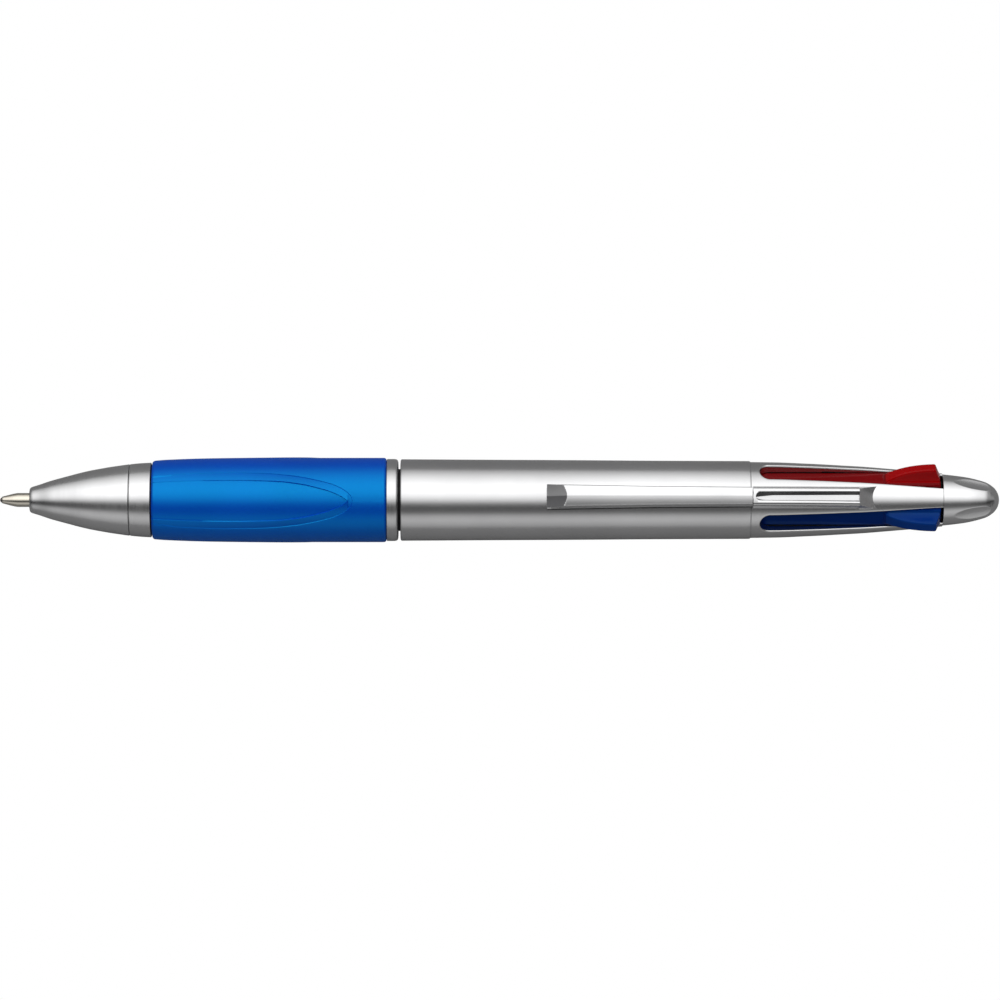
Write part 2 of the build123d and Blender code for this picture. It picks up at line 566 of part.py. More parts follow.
def build_refill(colour, angle, shift):
    """Refill of one colour: tube, ink column, point and ball."""
    out = shift > 0
    front = 0.0 if out else TRAVEL
    offset = 0.0 if out else TIP_OFFSET
    back = BOSS_FRONT - shift - PLAY
    shoulder = front + POINT_LENGTH
    skirt_back = shoulder + SKIRT_LENGTH

    with BuildPart() as tube:
        with BuildLine(side_plane(angle)) as tube_path:
            Line((shoulder + PLAY, offset), (skirt_back, offset))
            refill_bend(angle, front, offset)
            Line((STRAIGHT_FROM, REFILL_OFFSET), (back, REFILL_OFFSET))
        with BuildSketch(cross_plane(shoulder + PLAY, angle)):
            with Locations((0, offset)):
                Circle(TUBE_RADIUS)
                Circle(TUBE_BORE, mode=Mode.SUBTRACT)
        sweep(path=tube_path.line)
    save(tube, f"tube_{colour}")

    with BuildPart() as ink:
        with BuildLine(side_plane(angle)) as ink_path:
            refill_bend(angle, front, offset)
            Line((STRAIGHT_FROM, REFILL_OFFSET), (skirt_back + INK_LENGTH, REFILL_OFFSET))
        with BuildSketch(cross_plane(skirt_back, angle)):
            with Locations((0, offset)):
                Circle(INK_RADIUS)
        sweep(path=ink_path.line)
    save(ink, f"ink_{colour}")

    turn = radians(angle)
    tip = Vector(front, offset * sin(turn), offset * cos(turn))
    own_axis = Axis(tip, (1, 0, 0))
    own_plane = Plane(origin=tip, x_dir=(1, 0, 0), z_dir=(0, -cos(turn), sin(turn)))
    with BuildPart() as point:
        with BuildSketch(own_plane):
            with BuildLine():
                Polyline((0.28, BALL_RADIUS - 0.005), (0.28, 0.46), (POINT_CONE, SHANK_RADIUS),
                         (POINT_LENGTH, SHANK_RADIUS), (POINT_LENGTH, SKIRT_RADIUS),
                         (POINT_LENGTH + SKIRT_LENGTH - PLAY, SKIRT_RADIUS),
                         (POINT_LENGTH + SKIRT_LENGTH - PLAY, INK_CHANNEL), (0.7, INK_CHANNEL),
                         (0.7, BALL_RADIUS + PLAY), (0.35, BALL_RADIUS + PLAY),
                         (0.28, BALL_RADIUS - 0.005))
            make_face()
        revolve(axis=own_axis)
    save(point, f"point_{colour}")

    with BuildPart() as ball:
        with Locations(tip + Vector(BALL_RADIUS, 0, 0)):
            Sphere(BALL_RADIUS)
    save(ball, f"ball_{colour}")


os.makedirs("parts", exist_ok=True)
build_nose_cone()
build_lower_barrel()
build_grip()
build_upper_barrel()
build_slider_housing()
build_end_cap()
build_guide_core()
build_spring_plate()
build_clip_arm()
build_clip_mount()
for colour, angle in COLOURS.items():
    shift = TRAVEL if colour == COLOUR_OUT else 0.0
    build_slider(colour, angle, shift)
    build_spring(colour, angle, shift)
    build_refill(colour, angle, shift)
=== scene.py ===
"""Looks of the four-colour click pen: silver lacquer, soft blue grip, glossy coloured sliders."""

from math import acos, asin, cos, degrees, pi, radians, sin, sqrt, tan

import bmesh
import bpy
import numpy as np
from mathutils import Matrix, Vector


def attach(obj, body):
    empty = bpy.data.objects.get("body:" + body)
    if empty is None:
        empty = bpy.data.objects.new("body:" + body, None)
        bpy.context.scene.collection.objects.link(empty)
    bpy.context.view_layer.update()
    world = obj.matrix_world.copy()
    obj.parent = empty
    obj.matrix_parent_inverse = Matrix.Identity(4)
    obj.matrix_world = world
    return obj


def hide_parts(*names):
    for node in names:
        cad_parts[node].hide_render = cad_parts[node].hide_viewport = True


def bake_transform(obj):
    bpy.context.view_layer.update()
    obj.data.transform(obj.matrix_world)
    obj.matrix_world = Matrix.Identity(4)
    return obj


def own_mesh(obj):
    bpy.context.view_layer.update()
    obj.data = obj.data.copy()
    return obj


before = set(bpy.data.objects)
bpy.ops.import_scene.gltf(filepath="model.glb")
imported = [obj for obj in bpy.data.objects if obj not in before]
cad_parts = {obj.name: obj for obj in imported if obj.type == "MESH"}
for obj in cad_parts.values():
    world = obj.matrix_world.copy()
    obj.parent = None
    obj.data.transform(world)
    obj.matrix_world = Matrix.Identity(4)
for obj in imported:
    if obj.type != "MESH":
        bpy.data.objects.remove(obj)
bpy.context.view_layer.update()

# The frame is in metres; the shapes below are written in millimetres
MM = 0.001
# Where each slider sits, in degrees from +Z towards +Y; one colour is pushed forward at rest
COLOURS = {"red": 45.0, "blue": -45.0, "green": 135.0, "black": -135.0}
CHOSEN = "black"
TRAVEL = 17.0
# Distance of a refill from the pen's axis, at its slider and at its tip when drawn back
REFILL_OFFSET = 2.95
TIP_OFFSET = 2.5
# Ends of a refill's bend when its slider is forward, and the front of a slider drawn back
BEND_BACK, BEND_FRONT = 69.0, 12.0
SLIDER_FRONT = 101.0
FRONT, REAR, CLIP = "front_section", "barrel", "clip"


def pushed(colour):
    """How far forward this colour's slider is at rest."""
    return TRAVEL if colour == CHOSEN else 0.0


# ---------------------------------------------------------------- curves and meshes

def smooth_curve(points, steps=10):
    """Points of a Catmull-Rom curve through these 2-D points, ends included."""
    p = np.array(points, float)
    p = np.vstack([2 * p[0] - p[1], p, 2 * p[-1] - p[-2]])
    out = []
    for i in range(1, len(p) - 2):
        a, b, c, d = p[i - 1], p[i], p[i + 1], p[i + 2]
        for k in range(steps):
            t = k / steps
            out.append(0.5 * (2 * b + (c - a) * t + (2 * a - 5 * b + 4 * c - d) * t**2
                              + (3 * b - a - 3 * c + d) * t**3))
    out.append(p[-2])
    return [tuple(q) for q in out]


def value_at(points, steps=12):
    """A function giving the second coordinate of the smooth curve at a first coordinate."""
    c = np.array(smooth_curve(points, steps))
    return lambda x: np.interp(x, c[:, 0], c[:, 1])


def round_corners(points, size=0.12, steps=4, least=25.0):
    """A closed outline with each corner sharper than this angle replaced by a small round."""
    p = [np.array(q, float) for q in points]
    out = []
    for i, here in enumerate(p):
        before, after = p[i - 1], p[(i + 1) % len(p)]
        a, b = before - here, after - here
        la, lb = np.linalg.norm(a), np.linalg.norm(b)
        if la < 1e-6 or lb < 1e-6:
            continue
        turn = 180 - degrees(acos(np.clip(a @ b / la / lb, -1, 1)))
        cut = min(size, la * 0.45, lb * 0.45)
        if turn < least or here[1] < 1e-6:
            out.append(tuple(here))
            continue
        start, end = here + a / la * cut, here + b / lb * cut
        for k in range(steps + 1):
            t = k / steps
            out.append(tuple(start * (1 - t)**2 + here * 2 * t * (1 - t) + end * t**2))
    return out


def make_object(name, verts, faces, body, material, stands_for=(), sharp=38.0, clean=1e-4):
    """A mesh in millimetres, welded and smooth-shaded, that rides on a CAD body."""
    bm = bmesh.new()
    made = [bm.verts.new(v) for v in verts]
    for f in faces:
        if len(set(f)) > 2:
            # A face that is already there is left out
            try:
                bm.faces.new([made[i] for i in f])
            except ValueError:
                pass
    return finish_mesh(name, bm, body, material, stands_for, sharp, clean)


def finish_mesh(name, bm, body, material, stands_for=(), sharp=38.0, clean=1e-4, crease=None):
    """Welds, shades and scales a mesh; steep edges, and those the crease test picks, stay sharp."""
    bmesh.ops.remove_doubles(bm, verts=bm.verts, dist=clean)
    bmesh.ops.dissolve_degenerate(bm, dist=1e-5, edges=bm.edges)
    bmesh.ops.recalc_face_normals(bm, faces=bm.faces)
    for f in bm.faces:
        f.smooth = True
    for e in bm.edges:
        if e.is_manifold and len(e.link_faces) == 2:
            e.smooth = degrees(e.calc_face_angle(0.0)) < sharp
            if crease and all(crease(*v.co) for v in e.verts):
                e.smooth = False
    bmesh.ops.scale(bm, vec=(MM, MM, MM), verts=bm.verts)
    mesh = bpy.data.meshes.new(name)
    bm.to_mesh(mesh)
    bm.free()
    obj = bpy.data.objects.new(name, mesh)
    bpy.context.scene.collection.objects.link(obj)
    obj.data.materials.append(material)
    if body:
        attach(obj, body)
    if stands_for:
        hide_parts(*stands_for)
    return obj


def grid_faces(rows, columns, closed_rows=False, closed_columns=True, start=0):
    """Quads of a grid of vertices stored row by row."""
    faces = []
    for i in range(rows if closed_rows else rows - 1):
        for j in range(columns if closed_columns else columns - 1):
            a, b = start + i * columns + j, start + i * columns + (j + 1) % columns
            k = (i + 1) % rows
            faces.append((a, b, start + k * columns + (j + 1) % columns, start + k * columns + j))
    return faces


def end_faces(rows, columns, start=0):
    """The two faces that close the first and the last row of a grid."""
    last = start + (rows - 1) * columns
    return [tuple(range(start, start + columns)), tuple(range(last, last + columns))]


def add_faces(bm, verts, faces):
    """Adds one separate lump to a mesh that is being built."""
    made = [bm.verts.new(v) for v in verts]
    for f in faces:
        bm.faces.new([made[i] for i in f])


def lathe_mesh(outline, segments=144, centre=(0.0, 0.0), start=0):
    """Vertices and faces of a closed outline of (station, radius) turned about a line along X."""
    verts = []
    for x, r in outline:
        for j in range(segments):
            a = 2 * pi * j / segments
            verts.append((x, centre[0] + r * sin(a), centre[1] + r * cos(a)))
    return verts, grid_faces(len(outline), segments, closed_rows=True, start=start)


def lathe(name, outline, body, material, stands_for=(), segments=144, centre=(0.0, 0.0)):
    """An object turned from a closed outline."""
    verts, faces = lathe_mesh(outline, segments, centre)
    return make_object(name, verts, faces, body, material, stands_for)


def pipe_mesh(path, ups, radius, segments=20, start=0, capped=True):
    """Vertices and faces of a round rod along a path; ups point across it at each point."""
    path, ups = np.array(path, float), np.array(ups, float)
    along = np.gradient(path, axis=0)
    along /= np.linalg.norm(along, axis=1)[:, None]
    side = np.cross(along, ups)
    side /= np.linalg.norm(side, axis=1)[:, None]
    up = np.cross(side, along)
    radii = np.broadcast_to(radius, (len(path),))
    verts = []
    for p, s, u, r in zip(path, side, up, radii):
        for j in range(segments):
            a = 2 * pi * j / segments
            verts.append(tuple(p + r * (cos(a) * s + sin(a) * u)))
    faces = grid_faces(len(path), segments, start=start)
    if capped:
        faces += end_faces(len(path), segments, start)
    return verts, faces


def paint_shade(obj, where):
    """Paints shade: gives the dark material, which stands in for shade, to the faces that this test
    on station and radius picks.
    """
    obj.data.materials.append(PAINTED_SHADE_BLACK)
    for face in obj.data.polygons:
        x, y, z = (c / MM for c in face.center)
        if where(x, sqrt(y * y + z * z)):
            face.material_index = 1


def place(angle, x, around, out):
    """A point from its station, and its distances round the pen and outwards at this angle."""
    a = radians(angle)
    return (x, around * cos(a) + out * sin(a), -around * sin(a) + out * cos(a))


# ---------------------------------------------------------------- materials

def base_material(name):
    """A new material with its nodes, its shader and its texture coordinates."""
    material = bpy.data.materials.new(name)
    material.use_nodes = True
    nodes, links = material.node_tree.nodes, material.node_tree.links
    shader = nodes["Principled BSDF"]
    coords = nodes.new("ShaderNodeTexCoord")
    return material, nodes, links, shader, coords


def noise(nodes, links, coords, scale, stretch=(1, 1, 1), detail=3.0, rough=0.55):
    """A noise texture in object space, with its own stretch along each axis."""
    mapping = nodes.new("ShaderNodeMapping")
    mapping.inputs["Scale"].default_value = stretch
    links.new(coords.outputs["Object"], mapping.inputs["Vector"])
    texture = nodes.new("ShaderNodeTexNoise")
    texture.inputs["Scale"].default_value = scale
    texture.inputs["Detail"].default_value = detail
    texture.inputs["Roughness"].default_value = rough
    links.new(mapping.outputs["Vector"], texture.inputs["Vector"])
    return texture.outputs["Fac"]


def spread(nodes, links, source, low, high):
    """A value from low to high as the source goes over the middle of its range."""
    ramp = nodes.new("ShaderNodeMapRange")
    ramp.inputs["From Min"].default_value = 0.3
    ramp.inputs["From Max"].default_value = 0.7
    ramp.inputs["To Min"].default_value = low
    ramp.inputs["To Max"].default_value = high
    links.new(source, ramp.inputs["Value"])
    return ramp.outputs["Result"]


def tint(nodes, links, source, low, high):
    """A colour between two colours, mixed by the source."""
    mix = nodes.new("ShaderNodeMix")
    mix.data_type = "RGBA"
    mix.inputs["A"].default_value = (*low, 1)
    mix.inputs["B"].default_value = (*high, 1)
    links.new(spread(nodes, links, source, 0, 1), mix.inputs["Factor"])
    return mix.outputs["Result"]


def add_bumps(nodes, links, shader, *layers):
    """Bump layers given as (source, strength, depth in metres), fine ones last."""
    normal = None
    for source, strength, depth in layers:
        bump = nodes.new("ShaderNodeBump")
        bump.inputs["Strength"].default_value = strength
        bump.inputs["Distance"].default_value = depth
        links.new(source, bump.inputs["Height"])
        if normal is not None:
            links.new(normal, bump.inputs["Normal"])
        normal = bump.outputs["Normal"]
    links.new(normal, shader.inputs["Normal"])


# Slow unevenness that every finish has: noise scale, then bump strength and depth
BROAD_SCALE = 90.0
BROAD_BUMP = (0.05, 2e-5)


def plain_material(name, low, high, rough, metallic=0.0, grain=2500.0, bump=0.15, depth=2e-6,
                   stretch=(1, 1, 1), coat=0.0, coat_rough=0.12, subsurface=0.0, transmission=0.0,
                   ior=1.46, specular=0.5, shine=(1, 1, 1)):
    """Principled finish whose colour, roughness and surface all vary with fine noise."""
    material, nodes, links, shader, coords = base_material(name)
    broad = noise(nodes, links, coords, BROAD_SCALE)
    fine = noise(nodes, links, coords, grain, stretch)
    links.new(tint(nodes, links, broad, low, high), shader.inputs["Base Color"])
    links.new(spread(nodes, links, fine, rough[0], rough[1]), shader.inputs["Roughness"])
    add_bumps(nodes, links, shader, (broad, *BROAD_BUMP), (fine, bump, depth))
    shader.inputs["Metallic"].default_value = metallic
    shader.inputs["Coat Weight"].default_value = coat
    shader.inputs["Coat Roughness"].default_value = coat_rough
    shader.inputs["Subsurface Weight"].default_value = subsurface
    shader.inputs["Subsurface Radius"].default_value = (1.0, 0.6, 0.4)
    shader.inputs["Subsurface Scale"].default_value = 0.0004
    shader.inputs["Transmission Weight"].default_value = transmission
    shader.inputs["IOR"].default_value = ior
    shader.inputs["Specular IOR Level"].default_value = specular
    shader.inputs["Specular Tint"].default_value = (*shine, 1)
    return material


# Finishes: colour range, roughness range, then whatever differs from a plain dry surface
SILVER = plain_material("silver_lacquer", (0.59, 0.59, 0.595), (0.65, 0.65, 0.655), (0.19, 0.25),
                        metallic=1.0, grain=5200.0, bump=0.1, depth=8e-7)
TURNED = plain_material("silver_lacquer_turned", (0.59, 0.59, 0.595), (0.65, 0.65, 0.655),
                        (0.19, 0.27), metallic=1.0, grain=700.0, stretch=(9.0, 0.35, 0.35),
                        bump=0.12, depth=9e-7)
# Painted shade: two darker copies of the silver lacquer, for recess walls and for the clip's
# sloping front end; the second's coarser grain is surface texture
SHADED = plain_material("silver_lacquer_painted_shade", (0.16, 0.16, 0.165), (0.24, 0.24, 0.245),
                        (0.3, 0.45), metallic=1.0, grain=2200.0, bump=0.4, depth=4e-6)
SHADED_SLOPE = plain_material("silver_lacquer_slope_painted_shade", (0.33, 0.33, 0.335), (0.42, 0.42, 0.425),
                     (0.28, 0.38), metallic=1.0, grain=2600.0, bump=0.35, depth=2e-6)
RUBBER = plain_material("blue_soft_grip", (0.0, 0.02, 0.56), (0.001, 0.028, 0.62), (0.33, 0.40),
                        metallic=0.25, grain=3500.0, bump=0.1, depth=1e-6, specular=1.0, ior=2.0,
                        shine=(0.02, 0.85, 0.5))
# One finish for each colour: of a slider, darker as painted shade where its strip runs in the slot;
# of its thumb faces, glossier and brighter as painted light; and of the ink
SHADED_PLASTIC = {
    "red": plain_material("red_plastic", (0.155, 0.0, 0.001), (0.19, 0.0, 0.002), (0.10, 0.15),
                          specular=0.2, bump=0.06, shine=(1.0, 0.5, 0.5)),
    "blue": plain_material("blue_plastic", (0.0, 0.011, 0.11), (0.0, 0.015, 0.14), (0.10, 0.15),
                           specular=0.12, bump=0.06, shine=(0.1, 0.7, 1.0)),
    "green": plain_material("green_plastic", (0.0, 0.09, 0.025), (0.0, 0.11, 0.03), (0.13, 0.19),
                            specular=0.3, bump=0.06),
    "black": plain_material("black_plastic", (0.006, 0.006, 0.007), (0.011, 0.011, 0.012),
                            (0.13, 0.19), bump=0.06),
}
LIT_THUMB = {
    "red": plain_material("red_thumb", (0.30, 0.0, 0.001), (0.35, 0.001, 0.002), (0.09, 0.14),
                          specular=0.1, coat=0.1, coat_rough=0.09, bump=0.06,
                          shine=(1.0, 0.4, 0.4)),
    "blue": plain_material("blue_thumb", (0.0, 0.022, 0.16), (0.0, 0.028, 0.20), (0.09, 0.14),
                           specular=0.1, coat=0.1, coat_rough=0.09, bump=0.06,
                           shine=(0.1, 0.8, 1.0)),
    "green": plain_material("green_thumb", (0.0, 0.10, 0.025), (0.0, 0.12, 0.03), (0.09, 0.14),
                            specular=0.3, bump=0.06),
    "black": plain_material("black_thumb", (0.006, 0.006, 0.007), (0.011, 0.011, 0.012),
                            (0.09, 0.14), bump=0.06),
}
INK = {
    "red": plain_material("red_ink", (0.30, 0.0, 0.006), (0.36, 0.0, 0.01), (0.25, 0.4), bump=0.05),
    "blue": plain_material("blue_ink", (0.0, 0.01, 0.16), (0.0, 0.014, 0.2), (0.25, 0.4),
                           bump=0.05),
    "green": plain_material("green_ink", (0.0, 0.10, 0.03), (0.0, 0.13, 0.04), (0.25, 0.4),
                            bump=0.05),
    "black": plain_material("black_ink", (0.004, 0.004, 0.005), (0.008, 0.008, 0.01), (0.25, 0.4),
                            bump=0.05),
}
TUBE = plain_material("clear_tube", (0.86, 0.87, 0.86), (0.93, 0.94, 0.93), (0.12, 0.22),
                      transmission=0.9, ior=1.49, bump=0.05)
NATURAL = plain_material("natural_plastic", (0.72, 0.71, 0.67), (0.80, 0.79, 0.75), (0.4, 0.55),
                         subsurface=0.15)
WIRE = plain_material("spring_wire", (0.50, 0.50, 0.51), (0.62, 0.62, 0.62), (0.2, 0.34),
                      metallic=1.0)
NICKEL = plain_material("nickel_silver", (0.60, 0.56, 0.48), (0.70, 0.66, 0.58), (0.13, 0.22),
                        metallic=1.0, grain=1200.0, stretch=(8.0, 0.5, 0.5), bump=0.12,
                        depth=1.5e-6)
CARBIDE = plain_material("carbide_ball", (0.10, 0.10, 0.11), (0.16, 0.16, 0.17), (0.1, 0.2),
                         metallic=1.0)
# Painted shade: a near-black finish put on gaps, insides and seams where there is only shade
PAINTED_SHADE_BLACK = plain_material("painted_shade_dark", (0.006, 0.006, 0.007), (0.012, 0.012, 0.013), (0.5, 0.7))


# ---------------------------------------------------------------- front section

def build_nose():
    """Cone with a stepped bore, its mouth just wide enough for a writing point."""
    outline = [(4.4, 1.36)]
    outline += smooth_curve([(4.4, 1.5), (4.47, 1.72), (4.62, 1.86), (4.85, 1.97)], 4)
    outline += smooth_curve([(4.85, 1.97), (5.9, 2.29), (7.4, 2.8), (8.9, 3.22), (10.4, 3.62),
                             (11.8, 3.99), (13.3, 4.34), (14.8, 4.62), (16.3, 4.88), (17.8, 5.1),
                             (19.1, 5.28)], 5)[1:]
    outline += [(19.17, 5.24), (19.2, 5.15), (19.2, 4.32), (16.2, 4.32), (16.2, 3.95)]
    outline += smooth_curve([(16.2, 3.95), (12.0, 3.2), (8.5, 2.32), (5.6, 1.62)], 6)[1:]
    lathe("nose_cone_shell", outline, FRONT, TURNED, ["nose_cone"], segments=176)


def build_lower_barrel():
    """Tube with a collar before the grip, a round-edged band behind it and a threaded spigot."""
    outline = [(16.3, 3.8), (16.3, 4.1), (16.5, 4.3), (19.22, 4.3), (19.22, 5.14), (19.26, 5.24),
               (19.34, 5.3)]
    outline += smooth_curve([(19.34, 5.3), (20.8, 5.44), (22.3, 5.52)], 8)[1:]
    outline += [(22.38, 5.5), (22.42, 5.42), (22.42, 4.98), (57.25, 4.98), (57.25, 5.96),
                (57.29, 6.03), (57.36, 6.06), (58.0, 6.07)]
    outline += smooth_curve([(58.5, 6.06), (58.72, 6.0), (58.88, 5.86), (58.95, 5.66)], 4)
    outline += [(58.95, 4.58), (65.95, 4.58), (65.95, 4.2), (26.0, 4.2), (25.0, 3.8)]
    verts, faces = lathe_mesh(outline, 176)
    start = len(verts)
    thread_start, pitch, turns, steps = 60.15, 1.5, 3, 64
    rows = turns * steps + 1
    ridge = [(-0.4, 4.53), (-0.1, 4.8), (0.1, 4.8), (0.4, 4.53)]
    for k in range(rows):
        a = 2 * pi * k / steps
        for dx, r in ridge:
            verts.append((thread_start + pitch * k / steps + dx, r * sin(a), r * cos(a)))
    faces += grid_faces(rows, len(ridge), start=start) + end_faces(rows, len(ridge), start)
    obj = make_object("lower_barrel_tube", verts, faces, FRONT, TURNED,
                      ["lower_barrel"])
    # Painted shade: the dark material under the grip, on the spigot and on its thread stands in for
    # the shade in these gaps
    paint_shade(obj, lambda x, r: (22.4 < x < 57.26 and r < 5.3) or x > 58.96)


# Half widths in degrees of a finger pad's shelf and floor at each station, and the pads' turn
PAD_TURN = -6.2
SHELF_TIP, FLOOR_TIP = 52.32, 51.65
PAD_SHELF = value_at([(21.6, 35.5), (27.0, 40.3), (32.6, 42.2), (36.0, 41.8), (39.96, 40.5),
                      (42.8, 37.6), (44.7, 34.8), (46.56, 30.9), (48.3, 26.6), (49.4, 23.3),
                      (50.35, 19.4), (51.28, 14.2), (51.9, 9.0), (52.2, 5.0), (SHELF_TIP, 0.0)])
PAD_FLOOR = value_at([(21.6, 27.5), (28.0, 29.0), (35.5, 29.5), (41.44, 27.6), (44.68, 23.6),
                      (46.0, 21.0), (47.3, 17.9), (48.46, 14.9), (49.4, 11.8), (50.72, 6.2),
                      (FLOOR_TIP, 0.0)])


def pad_step(curve, x, r, tip):
    """Degrees taken by the step down at a pad's line, more where the line runs aslant."""
    wide, reach, steepest = 0.07, 0.05, 9.0
    slope = radians(float(curve(min(x + reach, tip)) - curve(x - reach)) / (2 * reach)) * r
    return wide * degrees(sqrt(1 + min(slope * slope, steepest)) / r)


def build_grip():
    """Sleeve with three finger pads: a sloping shelf round a floor, both drawn out to a tip."""
    bore = 5.02
    radius = value_at([(23.1, 5.86), (25.0, 6.0), (29.6, 6.15), (35.5, 6.215), (40.0, 6.225),
                       (52.0, 6.24), (56.85, 6.24)])
    shape = [(22.6, bore), (22.6, 5.45), (22.63, 5.6), (22.7, 5.7), (22.8, 5.78), (22.92, 5.83)]
    stations = list(np.linspace(23.1, 47.0, 110)) + list(np.linspace(47.2, 51.2, 44))
    stations += list(np.linspace(51.26, SHELF_TIP, 22)) + list(np.linspace(52.5, 56.8, 22))
    shape += [(x, float(radius(x))) for x in stations]
    shape += [(56.95, 6.22), (57.07, 6.16), (57.16, 6.06), (57.2, 5.94), (57.2, bore)]
    verts = []
    for x, r in shape:
        shelf = float(PAD_SHELF(x)) if x < SHELF_TIP else 0.0
        floor = min(float(PAD_FLOOR(x)), shelf) if x < FLOOR_TIP else 0.0
        shelf_step = min(pad_step(PAD_SHELF, x, r, SHELF_TIP), shelf) if shelf else 0.0
        floor_step = min(pad_step(PAD_FLOOR, x, r, FLOOR_TIP), floor) if floor else 0.0
        fade = np.interp(x, [30.0, 44.0], [0.25, 1.0])
        low = np.interp(x, [22.6, 34.0, 46.0], [0.045, 0.06, 0.08])
        high = low - np.interp(x, [26.0, 36.0, 46.0], [0.02, 0.08, 0.2]) if floor else low
        bottom = high + 0.20 * fade if floor else high
        inner = shelf - shelf_step
        top = min(floor, inner)
        below = max(top - floor_step, 0.0)
        # Half a pad as (degrees from its middle, depth): land, shelf, then floor
        half = [(60 - (60 - shelf) * k / 16, 0.0) for k in range(17)] + [(inner, low)]
        half += [(inner - (inner - top) * k / 6, low + (high - low) * k / 6) for k in range(1, 7)]
        half += [(below * (1 - k / 14), bottom) for k in range(15)]
        column = [(-a, d) for a, d in half] + [(a, d) for a, d in reversed(half[:-1])]
        ring = [(turn + PAD_TURN + a, d) for turn in (0, 120, 240) for a, d in column[:-1]]
        for a, d in ring:
            # The bore stays round
            cut = d if r > 5.3 else 0.0
            a = radians(a)
            verts.append((x, (r - cut) * sin(a), (r - cut) * cos(a)))
    faces = grid_faces(len(shape), len(ring), closed_rows=True)
    make_object("grip_sleeve", verts, faces, FRONT, RUBBER, ["grip"], sharp=35,
                clean=1e-3)


# ---------------------------------------------------------------- rear section

# Outside and inside radius of the slider housing at each station
HOUSING = value_at([(111.02, 5.62), (112.5, 5.6), (115.5, 5.55), (118.5, 5.42), (121.5, 5.28),
                    (124.3, 5.12), (127.3, 4.95), (128.8, 4.84), (131.7, 4.6), (135.5, 4.28),
                    (139.4, 3.92)])
HOUSING_INSIDE = value_at([(104.5, 4.38), (115.0, 4.38), (121.0, 4.38), (126.0, 4.16),
                           (131.7, 3.73), (139.4, 3.07)])


def build_upper_barrel():
    """Tube from the joint with the front section to the slider housing."""
    outline = [(59.3, 4.95), (59.3, 5.78), (59.34, 5.92), (59.42, 6.0), (59.52, 6.03)]
    outline += smooth_curve([(59.52, 6.03), (66.0, 5.995), (74.0, 5.95), (81.0, 5.92),
                             (89.0, 5.87), (96.0, 5.82), (104.0, 5.785), (110.85, 5.76)], 8)[1:]
    outline += [(110.95, 5.73), (111.0, 5.66), (111.0, 4.95), (104.4, 4.95), (104.4, 4.65),
                (70.0, 4.65), (70.0, 4.35), (66.4, 4.35), (66.4, 4.95)]
    lathe("upper_barrel_tube", outline, REAR, SILVER, ["upper_barrel"],
          segments=200)


